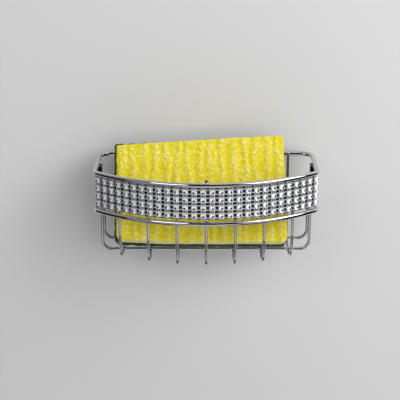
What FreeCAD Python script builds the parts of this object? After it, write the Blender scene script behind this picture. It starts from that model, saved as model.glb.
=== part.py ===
import FreeCAD, Part
import math
import os
from FreeCAD import Placement, Rotation, Vector

# A wire sponge basket for a wall. Millimetres, +X to the right, +Y towards the wall, +Z up.
# The origin is on the wall, at the middle of the width and at the height of the lower ring.

# Wires
ring_wire = 4.0            # diameter of the two D rings
rib_wire = 2.5             # diameter of the ribs and of the cross wires
weld_set = 0.3             # how far two welded wires sink into each other

# D rings, measured to the middle of the wire
ring_width = 182.5         # side to side
ring_depth = 94.3          # back wire to the middle of the front
front_rise = 36.2          # how far the front bows out past the front corners
front_corner_radius = 7.0
back_corner_radius = 9.0
wall_gap = 14.0            # wall to the rings' back wires

# Ribs
rib_count = 7
rib_margin = 20.45         # outer ribs to the middle of the rings' sides
floor_drop = 45.8          # lower ring to the ribs' run along the floor
rib_front_bend = 35.0
rib_back_bend = 6.0
side_rib_rise = 6.0        # front ends of the ribs above the lower ring
middle_rib_rise = 4.1      # front end of the middle rib above the upper ring
rib_back_rise = 2.0        # back ends of the ribs above the upper ring

# Cross wires
cross_bend = 8.0
front_cross_rise = 1.0     # ends of the front one's legs above the upper ring
rear_cross_rise = 3.0      # ends of the rear one's legs above the lower ring
cross_setback = 4.4        # front cross wire behind the end of the outer ribs' front bends

# Stone band
band_height = 26.4
band_lift = 1.4            # gap between the lower ring and the band
band_top_gap = 0.4         # gap between the band and the upper ring
band_sheet = 0.6           # thickness of the backing strip
band_weld = 0.1            # how far the backing sinks into the wires behind it
band_end_reach = 33.0      # wall to the band's ends
setting_sheet = 0.5        # thickness of the strip of settings
stone_rows = 4
stone_columns = 38
stone_shift = 1.2          # columns to the right of where the middle would be
stone_size = 4.3           # across the flats
stone_edge = 0.8           # height of the straight edge
stone_crown = 1.6          # height of the cut crown
stone_table = 2.1          # across the flats of the flat top
glue_line = 0.02

# Suction cups
cup_rib_step = 2           # which rib carries a cup, counted from the middle one
cup_diameter = 44.0
cup_rim_width = 3.0
cup_rim_edge = 1.2
cup_hollow = 2.5           # depth of the dish
cup_depth = 6.5            # rim to the foot of the hub
hub_diameter = 11.0
clip_length = 12.0
clip_wall = 1.9
clip_mouth = 2.0
clip_clearance = 0.05      # around the rib
clip_seat = 0.3            # between the clip and the lower ring's back wire

# Sponge
foam_left_room = 12.0      # foam's left end to the cross wires' legs
foam_right_room = 18.9     # foam's lower right end to the cross wires' legs
foam_right_taper = 2.4     # how far the right end leans in at the top
foam_front_room = 3.4      # foam's lower front edge to the outer ribs' front bends
foam_height = 91.6         # at the right end
foam_left_drop = 8.4       # how much lower the foam is at the left end
ripple_count = 15
ripple_depth = 1.0
pad_thickness = 8.0
pad_overhang = 2.0         # pad past the foam, below
pad_left_overhang = 3.0    # pad past the foam, on the left
pad_left_lip = 1.8         # pad above the foam at the left end
pad_right_step = 1.5       # pad below the foam's top at the right end
soft_clearance = 0.3       # sponge to the wires that it stands on and leans on

# Places that follow from the sizes
ring_radius = ring_wire / 2
rib_radius = rib_wire / 2
wire_inset = ring_radius + rib_radius - weld_set
half_width = ring_width / 2
ring_spacing = ring_wire + band_lift + band_height + band_top_gap
back_y = -wall_gap
front_y = back_y - ring_depth
arc_radius = (half_width ** 2 + front_rise ** 2) / (2 * front_rise)
arc_centre_y = front_y + arc_radius
corner_x = half_width - front_corner_radius
corner_y = arc_centre_y - math.sqrt((arc_radius - front_corner_radius) ** 2 - corner_x ** 2)
front_half_angle = math.asin(corner_x / (arc_radius - front_corner_radius))
rib_pitch = (ring_width - 2 * rib_margin) / (rib_count - 1)
rib_back_y = back_y - wire_inset
floor_z = -floor_drop
rib_back_top = ring_spacing + rib_back_rise
band_inset = wire_inset - rib_radius + band_weld
setting_inset = band_inset - band_sheet
stone_inset = setting_inset - setting_sheet - glue_line
band_bottom = ring_radius + band_lift
front_cross_z = floor_z + rib_wire - weld_set
outer_rib_x = (rib_count - 1) / 2 * rib_pitch
outer_rib_front = arc_centre_y - math.sqrt((arc_radius - wire_inset) ** 2 - outer_rib_x ** 2)
front_cross_y = outer_rib_front + rib_front_bend + cross_setback
leg_x = half_width - wire_inset
foam_left = rib_radius + foam_left_room - leg_x
foam_right = leg_x - rib_radius - foam_right_room
foam_width = foam_right - foam_left


def line(start, end):
    return Part.LineSegment(start, end).toShape()


def plan_arc(centre_x, centre_y, radius, first, last):
    """Arc in the plan, between two directions in radians from +X."""
    points = []
    for angle in (first, (first + last) / 2, last):
        points.append(Vector(centre_x + radius * math.cos(angle), centre_y + radius * math.sin(angle), 0))
    return Part.Arc(*points).toShape()


def front_path(inset, end_y):
    """Left side, front and right side of the D, moved inwards by inset."""
    side = half_width - inset
    corner = front_corner_radius - inset
    left_turn = 1.5 * math.pi - front_half_angle
    right_turn = 1.5 * math.pi + front_half_angle
    return [
        line(Vector(-side, end_y, 0), Vector(-side, corner_y, 0)),
        plan_arc(-corner_x, corner_y, corner, math.pi, left_turn),
        plan_arc(0, arc_centre_y, arc_radius - inset, left_turn, right_turn),
        plan_arc(corner_x, corner_y, corner, right_turn, 2 * math.pi),
        line(Vector(side, corner_y, 0), Vector(side, end_y, 0)),
    ]


def sweep(edges, diameter):
    """Round wire along a path."""
    path = Part.Wire(edges)
    first = edges[0]
    start = first.valueAt(first.FirstParameter)
    profile = Part.makeCircle(diameter / 2, start, first.tangentAt(first.FirstParameter))
    return path.makePipeShell([Part.Wire(profile)], True, False)


def bent_wire(points, bends, diameter):
    """Wire through square corners, each rounded to its bend radius."""
    edges = []
    start = points[0]
    for before, corner, after, bend in zip(points, points[1:], points[2:], bends):
        back = (before - corner).normalize()
        onward = (after - corner).normalize()
        first = corner + back * bend
        last = corner + onward * bend
        middle = corner + (back + onward) * (bend * (1 - math.sqrt(0.5)))
        edges.append(line(start, first))
        edges.append(Part.Arc(first, middle, last).toShape())
        start = last
    edges.append(line(start, points[-1]))
    return sweep(edges, diameter)


def make_ring(height):
    """Closed D of thick wire."""
    corner_start_y = back_y - back_corner_radius
    corner_start_x = half_width - back_corner_radius
    edges = front_path(0, corner_start_y)
    edges.append(plan_arc(corner_start_x, corner_start_y, back_corner_radius, 0, math.pi / 2))
    edges.append(line(Vector(corner_start_x, back_y, 0), Vector(-corner_start_x, back_y, 0)))
    edges.append(plan_arc(-corner_start_x, corner_start_y, back_corner_radius, math.pi / 2, math.pi))
    return sweep(edges, ring_wire).translate(Vector(0, 0, height))


def make_rib(step):
    """Rib: front end, floor run and back leg, step counted from the middle rib."""
    x = step * rib_pitch
    front = arc_centre_y - math.sqrt((arc_radius - wire_inset) ** 2 - x ** 2)
    front_top = ring_spacing + middle_rib_rise if step == 0 else side_rib_rise
    points = [
        Vector(x, front, front_top),
        Vector(x, front, floor_z),
        Vector(x, rib_back_y, floor_z),
        Vector(x, rib_back_y, rib_back_top),
    ]
    return bent_wire(points, [rib_front_bend, rib_back_bend], rib_wire)


def make_cross_wire(y, run_z, leg_top):
    """U-shaped wire across the floor, with its legs up inside the rings' sides."""
    points = [
        Vector(-leg_x, y, leg_top),
        Vector(-leg_x, y, run_z),
        Vector(leg_x, y, run_z),
        Vector(leg_x, y, leg_top),
    ]
    return bent_wire(points, [cross_bend, cross_bend], rib_wire)


def make_rear_cross_wire():
    """Cross wire lying in the hollow of the ribs' back bends."""
    nest = (rib_back_bend - rib_wire + weld_set) * math.sqrt(0.5)
    return make_cross_wire(rib_back_y - rib_back_bend + nest, floor_z + rib_back_bend - nest, rear_cross_rise)


def make_strip(outer_inset, thickness):
    """Upright strip round the sides and front, as high as the band."""
    inner_inset = outer_inset + thickness
    end_y = -band_end_reach
    edges = front_path(outer_inset, end_y) + front_path(inner_inset, end_y)
    for side in (-1, 1):
        edges.append(line(Vector(side * (half_width - outer_inset), end_y, 0),
                          Vector(side * (half_width - inner_inset), end_y, 0)))
    outline = Part.Wire(Part.__sortEdges__(edges))
    strip = Part.Face(outline).extrude(Vector(0, 0, band_height))
    return strip.translate(Vector(0, 0, band_bottom))


def octagon(across, y):
    """Eight-sided outline facing along Y, across its flats."""
    reach = across / 2 / math.cos(math.pi / 8)
    angles = [math.pi / 8 + step * math.pi / 4 for step in range(9)]
    return Part.makePolygon([Vector(reach * math.cos(a), y, reach * math.sin(a)) for a in angles])


def make_stone():
    """One cut stone with its flat back at the origin, facing -Y."""
    outlines = [
        octagon(stone_size, 0),
        octagon(stone_size, -stone_edge),
        octagon(stone_table, -stone_edge - stone_crown),
    ]
    return Part.makeLoft(outlines, True, True)


def band_place(run):
    """Place on the stones' seat, at a distance along the band from its middle."""
    arc = arc_radius - stone_inset
    corner = front_corner_radius - stone_inset
    arc_run = arc * front_half_angle
    corner_run = corner * (math.pi / 2 - front_half_angle)
    side = math.copysign(1, run)
    left = abs(run)
    if left < arc_run:
        turn = left / arc
        x = arc * math.sin(turn)
        y = arc_centre_y - arc * math.cos(turn)
    elif left < arc_run + corner_run:
        turn = front_half_angle + (left - arc_run) / corner
        x = corner_x + corner * math.sin(turn)
        y = corner_y - corner * math.cos(turn)
    else:
        turn = math.pi / 2
        x = half_width - stone_inset
        y = corner_y + left - arc_run - corner_run
    return Placement(Vector(side * x, y, 0), Rotation(Vector(0, 0, 1), math.degrees(side * turn)))


def make_stone_row(row):
    """One row of stones, evenly spaced from end to end of the band."""
    arc_run = (arc_radius - stone_inset) * front_half_angle
    corner_run = (front_corner_radius - stone_inset) * (math.pi / 2 - front_half_angle)
    side_run = -band_end_reach - corner_y
    pitch = 2 * (arc_run + corner_run + side_run) / stone_columns
    height = band_bottom + (row + 0.5) * band_height / stone_rows
    stones = []
    for column in range(stone_columns):
        stone = make_stone()
        stone.Placement = band_place((column - (stone_columns - 1) / 2) * pitch + stone_shift)
        stones.append(stone.translate(Vector(0, 0, height)))
    return Part.makeCompound(stones)


def make_suction_cup(side):
    """Soft cup with a hub and a clip that snaps on a rib's back leg."""
    x = side * cup_rib_step * rib_pitch
    z = -ring_radius - clip_seat - clip_length / 2
    rim = cup_diameter / 2
    dish = rim - cup_rim_width
    hub = hub_diameter / 2
    bore = rib_radius + clip_clearance
    clip = bore + clip_wall
    hub_end = rib_back_y + bore
    dish_sphere = (dish ** 2 + cup_hollow ** 2) / (2 * cup_hollow)
    dish_middle = Vector(dish / 2, dish_sphere - cup_hollow - math.sqrt(dish_sphere ** 2 - dish ** 2 / 4), 0)
    shoulder = Vector((rim + hub) / 2, -cup_rim_edge - (cup_depth - cup_rim_edge) * 0.36, 0)
    outline = Part.Wire([
        Part.Arc(Vector(0, -cup_hollow, 0), dish_middle, Vector(dish, 0, 0)).toShape(),
        line(Vector(dish, 0, 0), Vector(rim, 0, 0)),
        line(Vector(rim, 0, 0), Vector(rim, -cup_rim_edge, 0)),
        Part.Arc(Vector(rim, -cup_rim_edge, 0), shoulder, Vector(hub, -cup_depth, 0)).toShape(),
        line(Vector(hub, -cup_depth, 0), Vector(hub, hub_end, 0)),
        line(Vector(hub, hub_end, 0), Vector(0, hub_end, 0)),
        line(Vector(0, hub_end, 0), Vector(0, -cup_hollow, 0)),
    ])
    cup = Part.Face(outline).revolve(Vector(0, 0, 0), Vector(0, 1, 0), 360)
    cup.translate(Vector(x, 0, z))
    foot = Vector(x, rib_back_y, z - clip_length / 2)
    cup = cup.fuse(Part.makeCylinder(clip, clip_length, foot))
    cup = cup.cut(Part.makeCylinder(bore, clip_length, foot))
    mouth_corner = Vector(x - clip_mouth / 2, rib_back_y - clip, foot.z)
    return cup.cut(Part.makeBox(clip_mouth, clip, clip_length, mouth_corner))


def sponge_placement():
    """Sponge frame: its lower back edge on the front cross wire, its back on the tops of the ribs."""
    foot_z = front_cross_z + rib_radius + soft_clearance
    lean_y = rib_back_y - rib_radius - soft_clearance - front_cross_y
    lean = math.degrees(math.atan2(lean_y, rib_back_top - foot_z))
    return Placement(Vector(0, front_cross_y, foot_z), Rotation(Vector(1, 0, 0), -lean))


def sponge_thickness():
    """Foam and pad together: as thick as the outer ribs' front bends leave room for."""
    frame = sponge_placement()
    forward = frame.Rotation.multVec(Vector(0, -1, 0))
    bend_centre = Vector(0, outer_rib_front + rib_front_bend, floor_z + rib_front_bend)
    reach = rib_front_bend - rib_radius - foam_front_room
    start = frame.multVec(Vector(0, 0, pad_overhang)) - bend_centre
    along = start.dot(forward)
    return math.sqrt(along ** 2 - start.dot(start) + reach ** 2) - along


def slanted_slab(left, right, bottom, left_top, right_top, back, thickness):
    """Upright slab with a sloping top edge, from back towards -Y."""
    corners = [Vector(left, back, bottom), Vector(right, back, bottom),
               Vector(right - foam_right_taper, back, right_top), Vector(left, back, left_top),
               Vector(left, back, bottom)]
    return Part.Face(Part.makePolygon(corners)).extrude(Vector(0, -thickness, 0))


def make_foam():
    """Foam block with upright ripples on its front face."""
    crest_y = -sponge_thickness()
    valley_y = crest_y + ripple_depth
    pitch = foam_width / ripple_count
    edges = [line(Vector(foam_left, valley_y, 0), Vector(foam_left, -pad_thickness, 0)),
             line(Vector(foam_left, -pad_thickness, 0), Vector(foam_right, -pad_thickness, 0)),
             line(Vector(foam_right, -pad_thickness, 0), Vector(foam_right, valley_y, 0))]
    for ripple in range(ripple_count):
        start = foam_left + ripple * pitch
        edges.append(Part.Arc(Vector(start, valley_y, 0), Vector(start + pitch / 2, crest_y, 0),
                              Vector(start + pitch, valley_y, 0)).toShape())
    section = Part.Face(Part.Wire(Part.__sortEdges__(edges)))
    right_top = pad_overhang + foam_height
    left_top = right_top - foam_left_drop
    block = section.extrude(Vector(0, 0, max(left_top, right_top)))
    foam_thickness = -pad_thickness - crest_y
    trim = slanted_slab(foam_left, foam_right, pad_overhang, left_top, right_top,
                        -pad_thickness, foam_thickness)
    return block.common(trim)


def make_pad():
    """Scouring pad glued to the back of the foam."""
    left_top = pad_overhang + foam_height - foam_left_drop + pad_left_lip
    right_top = pad_overhang + foam_height - pad_right_step
    left = foam_left - pad_left_overhang
    return slanted_slab(left, foam_right, 0, left_top, right_top, 0, pad_thickness)


def placed(shape, placement):
    shape.Placement = placement.multiply(shape.Placement)
    return shape


def build():
    nodes = {
        "lower_ring": make_ring(0),
        "upper_ring": make_ring(ring_spacing),
        "front_floor_wire": make_cross_wire(front_cross_y, front_cross_z, ring_spacing + front_cross_rise),
        "rear_floor_wire": make_rear_cross_wire(),
        "band_backing": make_strip(setting_inset, band_sheet),
        "stone_settings": make_strip(setting_inset - setting_sheet, setting_sheet),
        "suction_cup_left": make_suction_cup(-1),
        "suction_cup_right": make_suction_cup(1),
        "sponge_foam": placed(make_foam(), sponge_placement()),
        "scouring_pad": placed(make_pad(), sponge_placement()),
    }
    for number in range(rib_count):
        nodes[f"rib_{number + 1}"] = make_rib(number - (rib_count - 1) / 2)
    for row in range(stone_rows):
        nodes[f"crystal_row_{stone_rows - row}"] = make_stone_row(row)
    return nodes


os.makedirs("parts", exist_ok=True)
for name, shape in build().items():
    shape.exportStep(f"parts/{name}.step")
    print(name, len(shape.Solids), "solids", round(shape.Volume, 1), "mm3", shape.isValid())
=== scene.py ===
import math
import random
import bmesh
import bpy
from mathutils import Matrix, Vector, noise


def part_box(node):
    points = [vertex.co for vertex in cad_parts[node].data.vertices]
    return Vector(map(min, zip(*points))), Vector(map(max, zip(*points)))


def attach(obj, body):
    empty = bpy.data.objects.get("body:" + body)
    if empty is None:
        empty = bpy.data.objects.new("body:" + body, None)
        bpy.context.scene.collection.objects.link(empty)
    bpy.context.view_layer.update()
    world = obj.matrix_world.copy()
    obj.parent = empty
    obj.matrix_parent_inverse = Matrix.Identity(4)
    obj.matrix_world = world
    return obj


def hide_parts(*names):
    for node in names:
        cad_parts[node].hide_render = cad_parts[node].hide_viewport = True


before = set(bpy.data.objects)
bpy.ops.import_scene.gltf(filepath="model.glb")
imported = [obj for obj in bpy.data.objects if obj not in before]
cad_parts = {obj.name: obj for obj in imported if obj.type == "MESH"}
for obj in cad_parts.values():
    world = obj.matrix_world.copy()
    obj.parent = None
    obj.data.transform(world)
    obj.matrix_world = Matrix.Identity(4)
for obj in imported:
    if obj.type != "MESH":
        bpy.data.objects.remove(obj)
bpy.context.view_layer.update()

# The two D rings are the basket's rim and waist: thick mild steel wire, bent on a former and butt welded,
# then nickel and chrome plated. Everything else on the basket is welded or clipped to them.
MM = 0.001
UP = Vector((0, 0, 1))
RING_CORNER = 7 * MM
RING_BACK_CORNER = 9 * MM
RING_FRONT_RISE = 36.2 * MM
CORNER_STEPS = 10
BOW_STEPS = 72
BACK_CORNER_STEPS = 14
WIRE_SIDES = 24
SEAM = 0.001 * MM

low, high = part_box("lower_ring")
ring_radius = (high.z - low.z) / 2
ring_half = high.x - ring_radius
ring_back = high.y - ring_radius
ring_front = low.y + ring_radius
front_radius = (ring_half ** 2 + RING_FRONT_RISE ** 2) / (2 * RING_FRONT_RISE)
front_centre = ring_front + front_radius
corner_x = ring_half - RING_CORNER
half_sweep = math.asin(corner_x / (front_radius - RING_CORNER))
corner_turn = math.pi / 2 - half_sweep
corner_y = front_centre - (front_radius - RING_CORNER) * math.cos(half_sweep)


def linear(code):
    """sRGB hex to linear colour."""
    channels = [int(code[i:i + 2], 16) / 255 for i in (1, 3, 5)]
    return [c / 12.92 if c <= 0.04045 else ((c + 0.055) / 1.055) ** 2.4 for c in channels] + [1.0]


def add_node(material, kind, settings=None, links=None):
    """Adds a node, sets its fields and sockets, and links its inputs from other nodes' outputs."""
    new = material.node_tree.nodes.new(kind)
    for name, value in (settings or {}).items():
        if isinstance(name, int) or name in new.inputs:
            new.inputs[name].default_value = value
        else:
            setattr(new, name, value)
    for name, output in (links or {}).items():
        material.node_tree.links.new(output, new.inputs[name])
    return new


def new_material(name, settings):
    """Material with these plain values on its Principled shader, for the caller to add its pattern."""
    material = bpy.data.materials.new(name)
    material.use_nodes = True
    shader = material.node_tree.nodes["Principled BSDF"]
    for socket, value in settings.items():
        shader.inputs[socket].default_value = value
    return material, shader


def uneven_gloss(material, shader, patch, detail, smoothest, roughest):
    """Lets the roughness wander over the surface in patches of a real size."""
    where = add_node(material, "ShaderNodeTexCoord")
    patches = add_node(material, "ShaderNodeTexNoise", {"Scale": 1 / patch, "Detail": detail},
                       {"Vector": where.outputs["Object"]})
    rough = add_node(material, "ShaderNodeMapRange", {"To Min": smoothest, "To Max": roughest},
                     {"Value": patches.outputs["Fac"]})
    material.node_tree.links.new(rough.outputs["Result"], shader.inputs["Roughness"])


def only_verts(geom):
    """The points among what an operator has made."""
    return [item for item in geom if isinstance(item, bmesh.types.BMVert)]


def far_edges(geom):
    """The edges among what an operator has made that have both their ends there."""
    fresh = set(only_verts(geom))
    return [item for item in geom if isinstance(item, bmesh.types.BMEdge) and set(item.verts) <= fresh]


def roll(bm, edges, start, heading, moves):
    """Draws a section along a path of moves: a straight length, or a bend (axis, angle, radius, steps)."""
    spot = Vector(start)
    ahead = Vector(heading)
    for move in moves:
        if isinstance(move, float):
            grown = bmesh.ops.extrude_edge_only(bm, edges=edges)["geom"]
            bmesh.ops.translate(bm, verts=only_verts(grown), vec=ahead * move)
            spot = spot + ahead * move
        else:
            axis, angle, bend, steps = move
            centre = spot + axis.cross(ahead) * bend
            verts = list({vert for edge in edges for vert in edge.verts})
            grown = bmesh.ops.spin(bm, geom=verts + edges, cent=centre, axis=axis, angle=angle, steps=steps)
            grown = grown["geom_last"]
            turn = Matrix.Rotation(angle, 3, axis)
            spot = centre + turn @ (spot - centre)
            ahead = turn @ ahead
        edges = far_edges(grown)


def roll_wire(bm, radius, start, heading, moves):
    """Draws a round wire along a path."""
    place = Matrix.Translation(start) @ UP.rotation_difference(heading).to_matrix().to_4x4()
    verts = bmesh.ops.create_circle(bm, segments=WIRE_SIDES, radius=radius, matrix=place)["verts"]
    roll(bm, list({edge for vert in verts for edge in vert.link_edges}), start, heading, moves)


def finish_mesh(bm, name, material, crease=40):
    """Closes seams, turns faces outwards and makes the object, smooth up to an edge angle in degrees."""
    bmesh.ops.remove_doubles(bm, verts=bm.verts, dist=SEAM)
    bmesh.ops.recalc_face_normals(bm, faces=bm.faces)
    for face in bm.faces:
        face.smooth = crease > 0
    mesh = bpy.data.meshes.new(name)
    bm.to_mesh(mesh)
    bm.free()
    if crease > 0:
        mesh.set_sharp_from_angle(angle=math.radians(crease))
    mesh.materials.append(material)
    piece = bpy.data.objects.new(name, mesh)
    bpy.context.scene.collection.objects.link(piece)
    return piece


def settle(piece, body, slot, *nodes):
    """The piece rides on its body and stands for its CAD nodes. Its slot is not used."""
    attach(piece, body)
    if nodes:
        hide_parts(*nodes)


# Bright chrome plate on drawn wire: a mirror with a faint waviness and a little haze.
HAZE_SIZE = 2.5 * MM
WAVE_SIZE = 9 * MM
WAVE_DEPTH = 0.3 * MM
chrome, shader = new_material("chrome_plated_wire", {"Base Color": linear("#CFD0D2"), "Metallic": 1.0})
uneven_gloss(chrome, shader, patch=HAZE_SIZE, detail=3.0, smoothest=0.03, roughest=0.1)
where = add_node(chrome, "ShaderNodeTexCoord")
wave = add_node(chrome, "ShaderNodeTexNoise", {"Scale": 1 / WAVE_SIZE, "Detail": 1.0},
                {"Vector": where.outputs["Object"]})
bump = add_node(chrome, "ShaderNodeBump", {"Strength": 0.05, "Distance": WAVE_DEPTH},
                {"Height": wave.outputs["Fac"]})
chrome.node_tree.links.new(bump.outputs["Normal"], shader.inputs["Normal"])

ring_side = ring_back - RING_BACK_CORNER - corner_y
front_corner = (UP, corner_turn, RING_CORNER, CORNER_STEPS)
front_bow = (UP, 2 * half_sweep, front_radius, BOW_STEPS)
back_corner = (UP, math.pi / 2, RING_BACK_CORNER, BACK_CORNER_STEPS)
for node_name in ("lower_ring", "upper_ring"):
    low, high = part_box(node_name)
    start = Vector((-ring_half, ring_back - RING_BACK_CORNER, (low.z + high.z) / 2))
    bm = bmesh.new()
    roll_wire(bm, ring_radius, start, Vector((0, -1, 0)),
              [ring_side, front_corner, front_bow, front_corner, ring_side,
               back_corner, 2 * (ring_half - RING_BACK_CORNER), back_corner])
    settle(finish_mesh(bm, node_name + "_wire", chrome), "basket", "chrome_wire", node_name)

# The seven ribs are thinner wire with the same plate. Each comes down inside the rings, curves into the
# floor and goes up the back, and the middle one starts at the rim. They are welded to the rings, and their
# ends are cropped, with a slight roll at the edge.
RIBS = 7
RIB_FRONT_BEND = 35 * MM
RIB_BACK_BEND = 6 * MM
RIB_END_RISE = 6 * MM
FRONT_BEND_STEPS = 28
BACK_BEND_STEPS = 12
CROP_ROLL = 0.3 * MM
ROLL_STEPS = 3
ACROSS = Vector((1, 0, 0))
DOWN = Vector((0, 0, -1))


def crop_ends(bm):
    """Closes a wire's two open ends and rolls their edges."""
    rims = [edge for edge in bm.edges if edge.is_boundary]
    caps = bmesh.ops.holes_fill(bm, edges=rims, sides=0)["faces"]
    rolled = list({edge for face in caps for edge in face.edges})
    bmesh.ops.bevel(bm, geom=rolled, offset=CROP_ROLL, offset_type="OFFSET", affect="EDGES",
                    segments=ROLL_STEPS, profile=0.5, material=-1)


low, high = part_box("rib_1")
rib_radius = (high.x - low.x) / 2
rib_floor = low.z + rib_radius
rib_back = high.y - rib_radius
rib_back_top = high.z
front_bend = (ACROSS, math.pi / 2, RIB_FRONT_BEND, FRONT_BEND_STEPS)
back_bend = (ACROSS, math.pi / 2, RIB_BACK_BEND, BACK_BEND_STEPS)
for number in range(1, RIBS + 1):
    node_name = f"rib_{number}"
    low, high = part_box(node_name)
    rib_x = (low.x + high.x) / 2
    rib_front = low.y + rib_radius
    reaches_rim = high.z > rib_back_top + MM
    rib_top = high.z if reaches_rim else RIB_END_RISE
    bm = bmesh.new()
    roll_wire(bm, rib_radius, Vector((rib_x, rib_front, rib_top)), DOWN,
              [rib_top - rib_floor - RIB_FRONT_BEND, front_bend,
               rib_back - rib_front - RIB_FRONT_BEND - RIB_BACK_BEND, back_bend,
               rib_back_top - rib_floor - RIB_BACK_BEND])
    crop_ends(bm)
    settle(finish_mesh(bm, node_name + "_wire", chrome), "basket", "chrome_wire", node_name)

# Two cross wires of the same wire tie the ribs together on the floor, one in front and one in the hollow of
# the back bends. They are welded to the ribs, and their legs go up inside the rings' sides.
CROSS_BEND = 8 * MM
CROSS_BEND_STEPS = 14
BACK = Vector((0, 1, 0))
cross_bend = (-BACK, math.pi / 2, CROSS_BEND, CROSS_BEND_STEPS)
for node_name in ("front_floor_wire", "rear_floor_wire"):
    low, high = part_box(node_name)
    leg_x = high.x - rib_radius
    leg = high.z - low.z - rib_radius - CROSS_BEND
    bm = bmesh.new()
    roll_wire(bm, rib_radius, Vector((-leg_x, (low.y + high.y) / 2, high.z)), DOWN,
              [leg, cross_bend, 2 * (leg_x - CROSS_BEND), cross_bend, leg])
    crop_ends(bm)
    settle(finish_mesh(bm, node_name + "_wire", chrome), "basket", "chrome_wire", node_name)

# The backing of the stone band is a thin strip of dark plated steel, spot welded to the rib ends and legs.
# It runs round the front corners and some way back along both sides.
BAND_END_REACH = 33 * MM
BACKING_SHEET = 0.6 * MM

# Black nickel plate on rolled strip: a dark mirror, a little dulled in soft patches.
STAIN_SIZE = 4 * MM
dark_plate, shader = new_material("black_nickel_strip", {"Base Color": linear("#303033"), "Metallic": 1.0})
uneven_gloss(dark_plate, shader, patch=STAIN_SIZE, detail=4.0, smoothest=0.1, roughest=0.2)

low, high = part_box("band_backing")
band_low = low.z
band_high = high.z
backing_out = ring_half - high.x
backing_mid = backing_out + BACKING_SHEET / 2
backing_x = ring_half - backing_mid
bm = bmesh.new()
corners = []
for across, level in ((-1, band_low), (1, band_low), (1, band_high), (-1, band_high)):
    corners.append(bm.verts.new((-backing_x + across * BACKING_SHEET / 2, -BAND_END_REACH, level)))
outline = [bm.edges.new((corners[i - 1], corners[i])) for i in range(4)]
band_side = -BAND_END_REACH - corner_y
band_corner = (UP, corner_turn, RING_CORNER - backing_mid, CORNER_STEPS)
band_bow = (UP, 2 * half_sweep, front_radius - backing_mid, BOW_STEPS)
roll(bm, outline, Vector((-backing_x, -BAND_END_REACH, band_low)), -BACK,
     [band_side, band_corner, band_bow, band_corner, band_side])
bmesh.ops.holes_fill(bm, edges=[edge for edge in bm.edges if edge.is_boundary], sides=4)
backing = finish_mesh(bm, "band_backing_strip", dark_plate)
settle(backing, "basket", "band_strip", "band_backing")

# The settings are one bright plated net: an eight-sided collar round each stone, with pairs of bars and of
# uprights from stone to stone and a thin tie between the uprights. The dark strip shows in its gaps.
STONE_ROWS = 4
STONE_COLUMNS = 38
STONE_SHIFT = 1.2 * MM
COLLAR_SIDES = 8
COLLAR_OUT = 4.75 * MM
COLLAR_IN = 4.65 * MM
COLLAR_RISE = 0.6 * MM
BAR_WIDTH = 0.75 * MM
BAR_OFFSET = 1.75 * MM
UPRIGHT_OFFSET = 1.7 * MM
TIE_WIDTH = 0.5 * MM
NET_RISE = 0.1 * MM

# Bright plate on a pressed net: pale and satin, so that the bars stay light whatever they face.
SATIN_SIZE = 1.5 * MM
bright_plate, shader = new_material("bright_plated_settings",
                                    {"Base Color": linear("#CECFD2"), "Metallic": 0.45})
uneven_gloss(bright_plate, shader, patch=SATIN_SIZE, detail=2.0, smoothest=0.25, roughest=0.45)

setting_out = ring_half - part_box("stone_settings")[1].x
setting_sheet = backing_out - setting_out
arc_radius = front_radius - setting_out
turn_radius = RING_CORNER - setting_out
arc_run = arc_radius * half_sweep
corner_run = turn_radius * corner_turn
band_run = 2 * (arc_run + corner_run - BAND_END_REACH - corner_y)
column_pitch = band_run / STONE_COLUMNS
row_pitch = (band_high - band_low) / STONE_ROWS


def band_place(column, row):
    """Place of a stone's seat on the settings, facing out along its own -Y."""
    run = (column - (STONE_COLUMNS - 1) / 2) * column_pitch + STONE_SHIFT
    side = math.copysign(1, run)
    left = abs(run)
    if left < arc_run:
        turn = left / arc_radius
        x = arc_radius * math.sin(turn)
        y = front_centre - arc_radius * math.cos(turn)
    elif left < arc_run + corner_run:
        turn = half_sweep + (left - arc_run) / turn_radius
        x = corner_x + turn_radius * math.sin(turn)
        y = corner_y - turn_radius * math.cos(turn)
    else:
        turn = math.pi / 2
        x = ring_half - setting_out
        y = corner_y + left - arc_run - corner_run
    z = band_high - (row + 0.5) * row_pitch
    return Matrix.Translation((side * x, y, z)) @ Matrix.Rotation(side * turn, 4, "Z")


def add_block(bm, centre, size):
    """Plain block of net metal, added to a setting."""
    verts = bmesh.ops.create_cube(bm, size=1.0)["verts"]
    bmesh.ops.scale(bm, vec=size, verts=verts)
    bmesh.ops.translate(bm, vec=centre, verts=verts)


def as_template(bm, name):
    """Mesh to copy into others, with its faces outwards."""
    bmesh.ops.recalc_face_normals(bm, faces=bm.faces)
    mesh = bpy.data.meshes.new(name)
    bm.to_mesh(mesh)
    bm.free()
    return mesh


def add_copy(bm, mesh, place):
    """Adds one more copy of a small mesh, and gives its faces."""
    verts_before = len(bm.verts)
    faces_before = len(bm.faces)
    bm.from_mesh(mesh)
    bm.verts.ensure_lookup_table()
    bm.faces.ensure_lookup_table()
    bmesh.ops.transform(bm, matrix=place, verts=bm.verts[verts_before:])
    return bm.faces[faces_before:]


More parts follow.
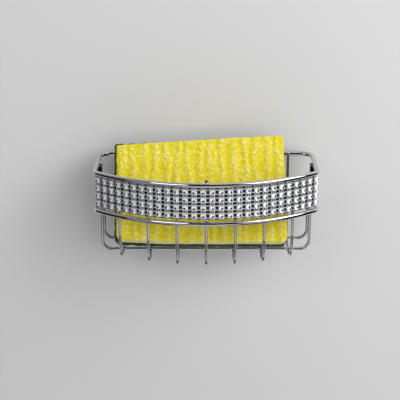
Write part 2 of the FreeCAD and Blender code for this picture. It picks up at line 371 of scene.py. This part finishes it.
FACE_OUT = Matrix.Rotation(math.pi / 2, 4, "X")
FLATS_UP = Matrix.Rotation(math.pi / COLLAR_SIDES, 4, "Z")
FLATS_TO_REACH = 1 / math.cos(math.pi / COLLAR_SIDES)
cell = bmesh.new()
seat = Matrix.Translation((0, setting_sheet, 0)) @ FACE_OUT @ FLATS_UP
rim = bmesh.ops.create_circle(cell, segments=COLLAR_SIDES, radius=COLLAR_OUT / 2 * FLATS_TO_REACH,
                              matrix=seat)["verts"]
rim_edges = list({edge for vert in rim for edge in vert.link_edges})
for rise, grow in ((setting_sheet + COLLAR_RISE, 1.0), (0.0, COLLAR_IN / COLLAR_OUT), (-COLLAR_RISE, 1.0)):
    grown = bmesh.ops.extrude_edge_only(cell, edges=rim_edges)["geom"]
    bmesh.ops.translate(cell, verts=only_verts(grown), vec=(0, -rise, 0))
    bmesh.ops.scale(cell, verts=only_verts(grown), vec=(grow, 1, grow))
    rim_edges = far_edges(grown)
net_middle = (setting_sheet - NET_RISE) / 2
net_depth = setting_sheet + NET_RISE
for side in (-1, 1):
    add_block(cell, (0, net_middle, side * BAR_OFFSET), (column_pitch, net_depth, BAR_WIDTH))
    add_block(cell, (side * UPRIGHT_OFFSET, net_middle, 0), (BAR_WIDTH, net_depth, row_pitch))
add_block(cell, (0, net_middle, 0), (TIE_WIDTH, net_depth, row_pitch))
cell_mesh = as_template(cell, "setting_cell")

bm = bmesh.new()
for column in range(STONE_COLUMNS):
    for row in range(STONE_ROWS):
        add_copy(bm, cell_mesh, band_place(column, row))
net = finish_mesh(bm, "stone_setting_net", bright_plate, crease=0)
settle(net, "basket", "settings", "stone_settings")
bpy.data.meshes.remove(cell_mesh)

# The stones are cut acrylic crystals with silver foil backs, pressed into the collars: a narrow table to one
# side of the middle and rings of facets round it. Each facet's colour is painted: a dark painted reflection
# on the table, a white painted highlight on the facets low on the left, and the foil's pale tone elsewhere.
STONE_SIZE = 4.6 * MM
STONE_WAIST = 3.8 * MM
STONE_EDGE = 0.75 * MM
STONE_LOWER_CROWN = 0.7 * MM
STONE_UPPER_CROWN = 0.5 * MM
TABLE_LENGTH = 2.4 * MM
TABLE_WIDTH = 1.35 * MM
TABLE_OFFSET = 0.45 * MM
TABLE_FACING = 0.99
STONE_SEED = 7
STONE_TILT = math.radians(3)
STONE_TURN = 45
PAINTED_HIGHLIGHT_WHITE = 1.0
FOIL_PALE = 0.58
PAINTED_REFLECTION_DARK = 0.01
FOIL_LEAST = 0.75
FOIL_MOST = 1.2
# In degrees: the painted highlight's middle and reach, and the stones' own turn, which follows the band's
# facing, so that the painted dark reflection on each table leans one way on the left and the other on the
# right.
PAINTED_HIGHLIGHT_TURN = -140
PAINTED_HIGHLIGHT_HALF = 105
SLASH_TURN = -85
SLASH_GAIN = 7
SLASH_STRAY = 25
SLASH_FIRST = -180
SLASH_LAST = 10

# Clear acrylic over silver foil, under a hard gloss: each facet takes one flat colour, the foil's pale tone
# or a painted reflection, dark on the table and white low on the left.
crystal, shader = new_material("foiled_crystal_painted_glints", {"Roughness": 0.06, "Specular IOR Level": 0.25})
foil_and_glint = add_node(crystal, "ShaderNodeAttribute", {"attribute_name": "foil_and_glint"})
tint = add_node(crystal, "ShaderNodeValToRGB", links={"Fac": foil_and_glint.outputs["Fac"]})
tint.color_ramp.elements[0].color = linear("#08090B")
tint.color_ramp.elements[1].color = linear("#FBFCFF")
crystal.node_tree.links.new(tint.outputs["Color"], shader.inputs["Base Color"])

stone = bmesh.new()
bmesh.ops.create_cone(stone, cap_ends=True, segments=COLLAR_SIDES, radius1=STONE_SIZE / 2 * FLATS_TO_REACH,
                      radius2=STONE_WAIST / 2 * FLATS_TO_REACH, depth=STONE_LOWER_CROWN, matrix=FLATS_UP)
top = max(stone.faces, key=lambda face: face.calc_center_median().z)
crown = bmesh.ops.inset_region(stone, faces=[top], thickness=(STONE_WAIST - TABLE_LENGTH) / 2,
                               depth=STONE_UPPER_CROWN)["faces"]
bmesh.ops.scale(stone, vec=(TABLE_WIDTH / TABLE_LENGTH, 1, 1), verts=top.verts)
bmesh.ops.translate(stone, vec=(TABLE_OFFSET, 0, 0), verts=top.verts)
bmesh.ops.triangulate(stone, faces=crown)
base = min(stone.faces, key=lambda face: face.calc_center_median().z)
base = bmesh.ops.extrude_discrete_faces(stone, faces=[base])["faces"][0]
bmesh.ops.translate(stone, vec=(0, 0, -STONE_EDGE), verts=base.verts)
bmesh.ops.translate(stone, vec=(0, 0, -min(vert.co.z for vert in stone.verts)), verts=stone.verts)
bmesh.ops.transform(stone, matrix=FACE_OUT, verts=stone.verts)
stone_mesh = as_template(stone, "cut_stone")


def foil_and_glint_tone(normal, spin):
    """A facet's flat colour: a dark painted reflection on the table, a white painted highlight low on the
    left, the foil's pale tone elsewhere.
    """
    if -normal.y > TABLE_FACING:
        return PAINTED_REFLECTION_DARK
    turn = math.degrees(math.atan2(normal.z, normal.x)) + spin
    from_painted_highlight = abs((turn - PAINTED_HIGHLIGHT_TURN + 180) % 360 - 180)
    return PAINTED_HIGHLIGHT_WHITE if from_painted_highlight < PAINTED_HIGHLIGHT_HALF else FOIL_PALE


facet_normals = [facet.normal.copy() for facet in stone_mesh.polygons]
random.seed(STONE_SEED)
for row in range(STONE_ROWS):
    bm = bmesh.new()
    foil_and_glint_layer = bm.faces.layers.float.new("foil_and_glint")
    for column in range(STONE_COLUMNS):
        tilt = Matrix.Rotation(random.uniform(-STONE_TILT, STONE_TILT), 4, "X")
        tilt = tilt @ Matrix.Rotation(random.uniform(-STONE_TILT, STONE_TILT), 4, "Z")
        place = band_place(column, row)
        facing = math.degrees(place.to_euler().z)
        slash = min(max(SLASH_TURN + SLASH_GAIN * facing, SLASH_FIRST), SLASH_LAST)
        spin = STONE_TURN * round((slash + random.uniform(-SLASH_STRAY, SLASH_STRAY)) / STONE_TURN)
        place = place @ tilt @ Matrix.Rotation(math.radians(-spin), 4, "Y")
        # Each facet's colour is its painted reflection, painted highlight or pale foil tone, jittered at
        # random.
        for facet, normal in zip(add_copy(bm, stone_mesh, place), facet_normals):
            facet[foil_and_glint_layer] = min(1.0, foil_and_glint_tone(normal, spin) * random.uniform(FOIL_LEAST, FOIL_MOST))
    node_name = f"crystal_row_{row + 1}"
    settle(finish_mesh(bm, node_name + "_stones", crystal, crease=0), "basket", "crystal", node_name)
bpy.data.meshes.remove(stone_mesh)

# The suction cups are moulded in clear soft vinyl: a thin dish with a thick hub, and a split clip that snaps
# over a rib's back leg under the lower ring's back wire.
CUP_RADIUS = 22 * MM
CUP_SIDES = 64
# Radius and depth in millimetres, from the middle of the face to the middle of the hub's end.
CUP_PROFILE = ((0, 2.5), (9, 2.3), (15, 1.5), (19, 0), (22, 0), (22, 0.9), (21, 1.4), (17, 2.3), (12, 3.7),
               (8, 5.3), (6, 7.0), (5.5, 8.4), (5.5, 13.2), (5.1, 13.9), (0, 13.9))
CLIP_BORE = 1.3 * MM
CLIP_OUT = 3.2 * MM
CLIP_HEIGHT = 12 * MM
CLIP_MOUTH = math.radians(100)
CLIP_STEPS = 36
CLIP_ROUND = 0.4 * MM
CLIP_EDGE_ANGLE = 1

# Plasticised PVC: clear with a faint grey-blue body and a soft moulded gloss.
BLOOM_SIZE = 5 * MM
vinyl, shader = new_material("clear_soft_vinyl", {"Base Color": linear("#E3EAEA"), "IOR": 1.53,
                                                  "Transmission Weight": 0.8})
uneven_gloss(vinyl, shader, patch=BLOOM_SIZE, detail=3.0, smoothest=0.12, roughest=0.34)

for body in ("left_cup", "right_cup"):
    node_name = "suction_cup_" + body.split("_")[0]
    low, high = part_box(node_name)
    middle = Vector(((low.x + high.x) / 2, high.y, high.z - CUP_RADIUS))
    bm = bmesh.new()
    profile = [bm.verts.new(middle + Vector((radius * MM, -depth * MM, 0))) for radius, depth in CUP_PROFILE]
    lines = [bm.edges.new(pair) for pair in zip(profile, profile[1:])]
    bmesh.ops.spin(bm, geom=profile + lines, cent=middle, axis=BACK, angle=2 * math.pi, steps=CUP_SIDES,
                   use_merge=True)
    clip = bmesh.new()
    clip_axis = Vector((middle.x, rib_back, 0))
    clip_low = low.z
    clip_high = low.z + CLIP_HEIGHT
    section = [clip.verts.new(clip_axis + Vector((0, reach, level))) for reach, level in
               ((CLIP_BORE, clip_low), (CLIP_OUT, clip_low), (CLIP_OUT, clip_high), (CLIP_BORE, clip_high))]
    edges = [clip.edges.new((section[i - 1], section[i])) for i in range(4)]
    first_lip = Matrix.Rotation(math.pi + CLIP_MOUTH / 2, 3, "Z")
    bmesh.ops.rotate(clip, cent=clip_axis, matrix=first_lip, verts=section)
    bmesh.ops.spin(clip, geom=section + edges, cent=clip_axis, axis=UP, angle=2 * math.pi - CLIP_MOUTH,
                   steps=CLIP_STEPS)
    bmesh.ops.holes_fill(clip, edges=[edge for edge in clip.edges if edge.is_boundary], sides=4)
    bmesh.ops.remove_doubles(clip, verts=clip.verts, dist=SEAM)
    bmesh.ops.recalc_face_normals(clip, faces=clip.faces)
    sharp = [edge for edge in clip.edges if edge.calc_face_angle(0) > CLIP_EDGE_ANGLE]
    bmesh.ops.bevel(clip, geom=sharp, offset=CLIP_ROUND, offset_type="OFFSET", affect="EDGES",
                    segments=ROLL_STEPS, profile=0.5, material=-1)
    clip_mesh = as_template(clip, "clip")
    bm.from_mesh(clip_mesh)
    bpy.data.meshes.remove(clip_mesh)
    settle(finish_mesh(bm, node_name + "_moulding", vinyl, crease=35), body, "soft_vinyl", node_name)

# The sponge's foam is an open-cell block with upright ripples on its face, cut a little out of square.
# Its base slopes up to the front. The sponge stands on the front cross wire and leans back on the ribs.
PAD_THICKNESS = 8 * MM
PAD_OVERHANG = 2 * MM
FOAM_FOOT = 2.2 * MM
FOAM_BASE_SLOPE = 2.4 * MM
BASE_SLOPE_POWER = 4
FOAM_LIFT = 2.2 * MM
FOAM_LIFT_REACH = 0.4
FOAM_LEFT_DROP = 8.4 * MM
FOAM_TAPER = 3.6 * MM
FOAM_CROWN = 0.5 * MM
SOFT_GAP = 0.3 * MM
FOAM_ROUND = 1.1 * MM
FOAM_LOW_CORNER = 5 * MM
FOAM_HIGH_CORNER = 1.5 * MM
FOAM_GRID = 0.75 * MM
RIPPLES = 15
RIPPLE_DEPTH = 0.85 * MM
RIPPLE_POWER = 6
RIPPLE_SWAY = 0.4
RIPPLE_SHARE = 0.75
RIPPLE_FADE = 0.5
FADE_SLICE = 5
CELL_SIZE = 1.8 * MM
CELL_DEPTH = 0.55 * MM
CELL_SHARE = 0.65
PIT_SHARE = 0.5
PIT_FINENESS = 2.1
LUMP_SIZE = 22 * MM
LUMP_DEPTH = 0.35 * MM
RISE_LEVEL = 0.34
PAINTED_SHADE_OF_CELLS = 0.38
PAINTED_SHADE_OF_VALLEYS = -0.15
PAINTED_LIGHT_ON_UNDERSIDE = 0.2

low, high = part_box("front_floor_wire")
foot = Vector((0, (low.y + high.y) / 2, low.z + 2 * rib_radius + SOFT_GAP))
lean = math.atan2(rib_back - rib_radius - SOFT_GAP - foot.y, rib_back_top - foot.z)
sponge_place = Matrix.Translation(foot) @ Matrix.Rotation(-lean, 4, "X")
low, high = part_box("sponge_foam")
foam_left = low.x
foam_right = high.x
sponge_depth = (foot.y + PAD_OVERHANG * math.sin(lean) - low.y) / math.cos(lean)
foam_height = (high.z - foot.z - sponge_depth * math.sin(lean)) / math.cos(lean) - PAD_OVERHANG


def fine_box(bm, lowest, highest, grid):
    """Box whose faces are cut into squares of about one grid step."""
    size = highest - lowest
    verts = bmesh.ops.create_cube(bm, size=1.0)["verts"]
    bmesh.ops.scale(bm, vec=size, verts=verts)
    bmesh.ops.translate(bm, vec=(lowest + highest) / 2, verts=verts)
    for axis in range(3):
        along = [edge for edge in bm.edges
                 if abs(edge.verts[0].co[axis] - edge.verts[1].co[axis]) > size[axis] / 2]
        bmesh.ops.subdivide_edges(bm, edges=along, cuts=int(size[axis] / grid), use_grid_fill=True)


def round_edges(bm, lowest, highest, radius):
    """Moves a fine box's points on to rounded edges and corners."""
    inner_low = lowest + Vector((radius, radius, radius))
    inner_high = highest - Vector((radius, radius, radius))
    for vert in bm.verts:
        core = Vector([min(max(vert.co[i], inner_low[i]), inner_high[i]) for i in range(3)])
        vert.co = core + (vert.co - core).normalized() * radius


def round_outline(bm, lowest, highest, low_radius, high_radius):
    """Rounds the lower and upper corners of a fine box's outline, as seen from the front."""
    for vert in bm.verts:
        radius = low_radius if vert.co.z < (lowest.z + highest.z) / 2 else high_radius
        past_x = vert.co.x - min(max(vert.co.x, lowest.x + radius), highest.x - radius)
        past_z = vert.co.z - min(max(vert.co.z, lowest.z + radius), highest.z - radius)
        if past_x and past_z:
            pull = 1 - max(abs(past_x), abs(past_z)) / math.hypot(past_x, past_z)
            vert.co.x -= past_x * pull
            vert.co.z -= past_z * pull


def corner_lift(side, up):
    """How far the sponge's lower left corner has sprung up off the wire."""
    return FOAM_LIFT * max(0.0, 1 - side / FOAM_LIFT_REACH) ** 2 * (1 - up)


foam_low = Vector((foam_left, -sponge_depth, FOAM_FOOT))
foam_high = Vector((foam_right, -PAD_THICKNESS, PAD_OVERHANG + foam_height))
bm = bmesh.new()
fine_box(bm, foam_low, foam_high, FOAM_GRID)
round_edges(bm, foam_low, foam_high, FOAM_ROUND)
round_outline(bm, foam_low, foam_high, FOAM_LOW_CORNER, FOAM_HIGH_CORNER)
bm.normal_update()
painted_light_and_shade_layer = bm.verts.layers.float.new("rise")
pitch = (foam_right - foam_left) / RIPPLES
for vert in bm.verts:
    across = (vert.co.x - foam_left) / pitch
    forward = max(0.0, min(1.0, (-vert.co.y - PAD_THICKNESS) / (sponge_depth - PAD_THICKNESS)))
    side = (vert.co.x - foam_left) / (foam_right - foam_left)
    up = (vert.co.z - foam_low.z) / (foam_high.z - foam_low.z)
    sway = RIPPLE_SWAY * noise.noise(Vector((across, 0, vert.co.z / LUMP_SIZE)))
    fade = noise.noise(Vector((across / 2, FADE_SLICE, 2 * vert.co.z / LUMP_SIZE)))
    share = forward ** RIPPLE_POWER * (RIPPLE_SHARE + RIPPLE_FADE * fade)
    valley = share * math.cos(math.pi * (across + sway)) ** 2
    pits = noise.noise(vert.co / CELL_SIZE * PIT_FINENESS)
    cells = CELL_SHARE * noise.noise(vert.co / CELL_SIZE) + PIT_SHARE * pits
    lumps = noise.noise(vert.co / LUMP_SIZE)
    facing_down = max(0.0, -vert.normal.z)
    # Painted shade and light for the colour: paler on raised cells, darker in pits and ripple valleys, paler
    # on faces turned down.
    vert[painted_light_and_shade_layer] = (RISE_LEVEL + PAINTED_SHADE_OF_CELLS * cells + PAINTED_SHADE_OF_VALLEYS * valley
                        + PAINTED_LIGHT_ON_UNDERSIDE * facing_down)
    vert.co = vert.co + vert.normal * (CELL_DEPTH * cells + LUMP_DEPTH * lumps)
    vert.co.x -= FOAM_TAPER * side * up
    vert.co.y += RIPPLE_DEPTH * valley
    vert.co.z += up * (FOAM_CROWN * math.sin(math.pi * side) - FOAM_LEFT_DROP * (1 - side))
    vert.co.z += corner_lift(side, up) + FOAM_BASE_SLOPE * forward * (1 - up) ** BASE_SLOPE_POWER
bmesh.ops.transform(bm, matrix=sponge_place, verts=bm.verts)

# Polyurethane foam: dull and a little translucent. Its colour follows the surface's height: pale on the
# raised cell walls as a painted highlight, deep yellow in the pits and ripple valleys as painted shade, and
# paler on faces that turn down as painted light.
# Real pores are well under a millimetre, and are drawn coarser, here and in the mesh, so that they show.
PORE_SIZE = 1.2 * MM
PORE_DEPTH = 0.3 * MM
PORE_SHARE = 0.8
foam_mat, shader = new_material("open_cell_foam", {
    "Roughness": 0.95, "Specular IOR Level": 0.2,
    "Subsurface Weight": 0.1, "Subsurface Radius": (1.0, 0.8, 0.2), "Subsurface Scale": 1 * MM})
where = add_node(foam_mat, "ShaderNodeTexCoord")
rise = add_node(foam_mat, "ShaderNodeAttribute", {"attribute_name": "rise"})
pores = add_node(foam_mat, "ShaderNodeTexNoise", {"Scale": 1 / PORE_SIZE, "Detail": 3.0, "Roughness": 0.6},
                 {"Vector": where.outputs["Object"]})
# The pores that bump the surface also tint it: pale where high as a painted highlight, deep yellow where low
# as painted shade.
pore_tone_and_painted_shade = add_node(foam_mat, "ShaderNodeMath", {"operation": "MULTIPLY_ADD", 1: PORE_SHARE},
                 {0: pores.outputs["Fac"], 2: rise.outputs["Fac"]})
tint = add_node(foam_mat, "ShaderNodeValToRGB", links={"Fac": pore_tone_and_painted_shade.outputs["Value"]})
tint.color_ramp.elements[0].position = 0.35
tint.color_ramp.elements[0].color = linear("#CFBE00")
tint.color_ramp.elements[1].position = 1.0
tint.color_ramp.elements[1].color = linear("#F1EAAE")
middle_tone = tint.color_ramp.elements.new(0.7)
middle_tone.color = linear("#E0D033")
bump = add_node(foam_mat, "ShaderNodeBump", {"Strength": 0.5, "Distance": PORE_DEPTH},
                {"Height": pores.outputs["Fac"]})
foam_mat.node_tree.links.new(tint.outputs["Color"], shader.inputs["Base Color"])
foam_mat.node_tree.links.new(bump.outputs["Normal"], shader.inputs["Normal"])
foam = finish_mesh(bm, "foam_block", foam_mat, crease=180)
settle(foam, "sponge", "foam", "sponge_foam")

# The scouring pad is bonded nylon fibre with green grit, glued to the foam's back and trimmed roughly,
# so its edge stands out past the foam below and on the left, with loose fibres along it.
PAD_FOOT = -0.3 * MM
PAD_LEFT_LIP = 2.6 * MM
PAD_RIGHT_STEP = 1.5 * MM
PAD_ROUND = 1.2 * MM
PAD_LOW_CORNER = 5 * MM
PAD_HIGH_CORNER = 2 * MM
PAD_GRID = 0.8 * MM
FIBRE_SIZE = 1.6 * MM
FIBRE_DEPTH = 0.5 * MM
FIBRE_SINK = 0.5
TRIM_SIZE = 6 * MM
TRIM_DEPTH = 1.2 * MM
TRIM_SINK = 0.2
STRANDS = 700
STRAND_SEED = 11
STRAND_SIDES = 4
STRAND_RADIUS = 0.16 * MM
STRAND_TIP = 0.6
STRAND_LENGTH = 2.4 * MM
STRAND_SPREAD = (1, 0.6, 1)
STRAND_OUTWARDS = 0.9
RIM_SHARE = 0.5


def rim_share(normal):
    """How much of a surface faces out of the pad's edge, rather than front or back."""
    return math.sqrt(normal.x ** 2 + normal.z ** 2)


pad_low = Vector((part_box("scouring_pad")[0].x, -PAD_THICKNESS, PAD_FOOT))
pad_high = Vector((foam_right, 0, PAD_OVERHANG + foam_height - PAD_RIGHT_STEP))
pad_left_drop = FOAM_LEFT_DROP - PAD_LEFT_LIP - PAD_RIGHT_STEP
bm = bmesh.new()
fine_box(bm, pad_low, pad_high, PAD_GRID)
round_edges(bm, pad_low, pad_high, PAD_ROUND)
round_outline(bm, pad_low, pad_high, PAD_LOW_CORNER, PAD_HIGH_CORNER)
bm.normal_update()
for vert in bm.verts:
    up = (vert.co.z - pad_low.z) / (pad_high.z - pad_low.z)
    side = (vert.co.x - pad_low.x) / (pad_high.x - pad_low.x)
    fray = noise.noise(vert.co / FIBRE_SIZE) - FIBRE_SINK
    trim = rim_share(vert.normal) * (noise.noise(vert.co / TRIM_SIZE) - TRIM_SINK)
    vert.co = vert.co + vert.normal * (FIBRE_DEPTH * fray + TRIM_DEPTH * trim)
    vert.co.x -= FOAM_TAPER * side * up
    vert.co.z = max(vert.co.z, 0) + corner_lift(side, up) - pad_left_drop * (1 - side) * up
bm.normal_update()
rim = [vert for vert in bm.verts if rim_share(vert.normal) > RIM_SHARE]
strand = bmesh.new()
bmesh.ops.create_cone(strand, cap_ends=True, segments=STRAND_SIDES, radius1=STRAND_RADIUS,
                      radius2=STRAND_RADIUS * STRAND_TIP, depth=STRAND_LENGTH)
strand_mesh = as_template(strand, "strand")
fringe = bmesh.new()
random.seed(STRAND_SEED)
for vert in random.sample(rim, STRANDS):
    stray = Vector([random.gauss(0, spread) for spread in STRAND_SPREAD])
    lie = (stray + vert.normal * STRAND_OUTWARDS).normalized()
    turn = UP.rotation_difference(lie).to_matrix().to_4x4()
    add_copy(fringe, strand_mesh, Matrix.Translation(vert.co) @ turn)
for vert in fringe.verts:
    vert.co.z = max(vert.co.z, 0)
fringe_mesh = as_template(fringe, "fringe")
bm.from_mesh(fringe_mesh)
bpy.data.meshes.remove(strand_mesh)
bpy.data.meshes.remove(fringe_mesh)
bmesh.ops.transform(bm, matrix=sponge_place, verts=bm.verts)

# Resin-bonded nylon fibre: a dull dark green tangle. The noise that bumps it also tints it, paler where the
# fibres stand up and darker in the hollows between them, as painted shade.
# Real fibres are about 0.1 mm thick, and are drawn coarser, here and in the mesh, so that they show.
TANGLE_SIZE = 1 * MM
TANGLE_DEPTH = 0.5 * MM
fibre, shader = new_material("green_scouring_fibre", {"Roughness": 0.9, "Specular IOR Level": 0.3})
where = add_node(fibre, "ShaderNodeTexCoord")
tangle = add_node(fibre, "ShaderNodeTexNoise", {"Scale": 1 / TANGLE_SIZE, "Detail": 4.0, "Distortion": 2.0},
                  {"Vector": where.outputs["Object"]})
tint = add_node(fibre, "ShaderNodeValToRGB", links={"Fac": tangle.outputs["Fac"]})
tint.color_ramp.elements[0].position = 0.35
tint.color_ramp.elements[0].color = linear("#18240F")
tint.color_ramp.elements[1].position = 0.7
tint.color_ramp.elements[1].color = linear("#4A6A38")
bump = add_node(fibre, "ShaderNodeBump", {"Strength": 0.8, "Distance": TANGLE_DEPTH},
                {"Height": tangle.outputs["Fac"]})
fibre.node_tree.links.new(tint.outputs["Color"], shader.inputs["Base Color"])
fibre.node_tree.links.new(bump.outputs["Normal"], shader.inputs["Normal"])
pad = finish_mesh(bm, "scouring_pad_fibre", fibre, crease=180)
settle(pad, "sponge", "scouring_fibre", "scouring_pad")

# Stage: a plain pale wall that the cups sit on, and a pale floor well below. Both are seen from the room
# only, so the part can be looked at from behind. Sizes here and in the light are metres.
WALL_GAP = 0.4 * MM
ROOM_HALF = 1.6
ROOM_FRONT = -3.2
FLOOR_DROP = 0.45
CEILING = 1.6
WALL_OUTLINE = ((-ROOM_HALF, WALL_GAP, -FLOOR_DROP), (ROOM_HALF, WALL_GAP, -FLOOR_DROP),
                (ROOM_HALF, WALL_GAP, CEILING), (-ROOM_HALF, WALL_GAP, CEILING))
FLOOR_OUTLINE = ((-ROOM_HALF, ROOM_FRONT, -FLOOR_DROP), (ROOM_HALF, ROOM_FRONT, -FLOOR_DROP),
                 (ROOM_HALF, WALL_GAP, -FLOOR_DROP), (-ROOM_HALF, WALL_GAP, -FLOOR_DROP))

# Satin wall paint: even and pale, with a soft sheen, and clear from its back.
for name, colour, corners in (("wall", "#CFCFD0", WALL_OUTLINE), ("floor", "#D0D0D2", FLOOR_OUTLINE)):
    paint, shader = new_material(f"pale_{name}_paint", {"Base Color": linear(colour), "Roughness": 0.6})
    facing = add_node(paint, "ShaderNodeNewGeometry")
    clear = add_node(paint, "ShaderNodeBsdfTransparent")
    one_side = add_node(paint, "ShaderNodeMixShader", links={
        0: facing.outputs["Backfacing"], 1: shader.outputs["BSDF"], 2: clear.outputs["BSDF"]})
    paint.node_tree.links.new(one_side.outputs["Shader"],
                              paint.node_tree.nodes["Material Output"].inputs["Surface"])
    bm = bmesh.new()
    bm.faces.new([bm.verts.new(corner) for corner in corners])
    mesh = bpy.data.meshes.new(name)
    bm.to_mesh(mesh)
    bm.free()
    mesh.materials.append(paint)
    surface = bpy.data.objects.new(name, mesh)
    bpy.context.scene.collection.objects.link(surface)

# Light: a small soft box high on the left, a warm strip overhead, a wide soft box high on the right, a
# large fill in front that the chrome doesn't show, and an even pale room. Each lamp has a place, a size in
# metres, a power in watts and a colour.
LAMPS = (
    ("left_softbox", (-0.49, -0.96, 0.62), (0.53, 0.3), 2, "#FFFFFF"),
    ("overhead_strip", (0.2, -0.33, 1.27), (0.4, 0.06), 0.3, "#FFEACA"),
    ("right_softbox", (0.86, -0.585, 0.73), (0.9, 0.72), 8, "#FFFFFF"),
    ("front_fill", (1.1, -1.8, 0.7), (2.0, 1.6), 27, "#FFFFFF"),
)
LAMP_AIM = Vector((0, -0.06, 0))
ROOM_GREY = (0.25, 0.25, 0.25, 1)
for name, place, size, power, colour in LAMPS:
    lamp = bpy.data.lights.new(name, "AREA")
    lamp.shape = "RECTANGLE"
    lamp.size, lamp.size_y = size
    lamp.energy = power
    lamp.color = linear(colour)[:3]
    box = bpy.data.objects.new(name, lamp)
    box.location = place
    box.rotation_euler = (LAMP_AIM - box.location).to_track_quat("-Z", "Y").to_euler()
    box.visible_glossy = name != "front_fill"
    bpy.context.scene.collection.objects.link(box)
world = bpy.data.worlds.new("pale_room")
world.use_nodes = True
world.node_tree.nodes["Background"].inputs["Color"].default_value = ROOM_GREY
bpy.context.scene.world = world

# Black card gives the chrome its dark lines, and only reflections show it: a tall one behind the camera
# that folds forward on the right, a flag at each side, a strip low on the wall and two mats on the floor.
# Each upright card has the points of its foot in plan, and the levels of its foot and top.
CARDS = (
    (((-0.45, -1.25), (2.05, -1.25), (2.05, -0.15)), -0.2, 1.6),
    (((-0.42, -0.3), (-0.42, -0.02)), -FLOOR_DROP, 0.15),
    (((0.42, -0.3), (0.42, -0.02)), -FLOOR_DROP, 0.15),
    (((-0.12, -0.01), (0.12, -0.01)), -0.22, -0.12),
)
MAT_PLAN = ((0.12, -0.5), (0.42, -0.5), (0.42, -0.02), (0.12, -0.02))
MAT_LEVEL = -0.44

# Matt black card: no gloss and almost no light.
black_card, shader = new_material("black_card", {"Base Color": linear("#0C0C0D"), "Roughness": 0.9})
bm = bmesh.new()
for plan, card_foot, card_top in CARDS:
    foot_line = [bm.verts.new((x, y, card_foot)) for x, y in plan]
    foot_edges = [bm.edges.new(pair) for pair in zip(foot_line, foot_line[1:])]
    raised = bmesh.ops.extrude_edge_only(bm, edges=foot_edges)["geom"]
    bmesh.ops.translate(bm, vec=(0, 0, card_top - card_foot), verts=only_verts(raised))
for side in (-1, 1):
    bm.faces.new([bm.verts.new((side * x, y, MAT_LEVEL)) for x, y in MAT_PLAN])
card = finish_mesh(bm, "black_card", black_card, crease=0)
card.visible_camera = False
card.visible_diffuse = False
card.visible_shadow = False
card.visible_transmission = False

# Camera at the photograph's view: a long lens, a little to the left of the basket's middle, looking down.
VIEW_DOWN = math.radians(17.75)
VIEW_FROM = (-5.04 * MM, -1078.1 * MM, 330.8 * MM)
SENSOR_WIDTH = 36
LENS = 115.2
camera = bpy.data.cameras.new("camera")
camera.sensor_width = SENSOR_WIDTH
camera.lens = LENS
eye = bpy.data.objects.new("camera", camera)
eye.location = VIEW_FROM
eye.rotation_euler = (math.pi / 2 - VIEW_DOWN, 0, 0)
bpy.context.scene.collection.objects.link(eye)
bpy.context.scene.camera = eye
bpy.context.scene.view_settings.view_transform = "Standard"

bpy.context.view_layer.update()
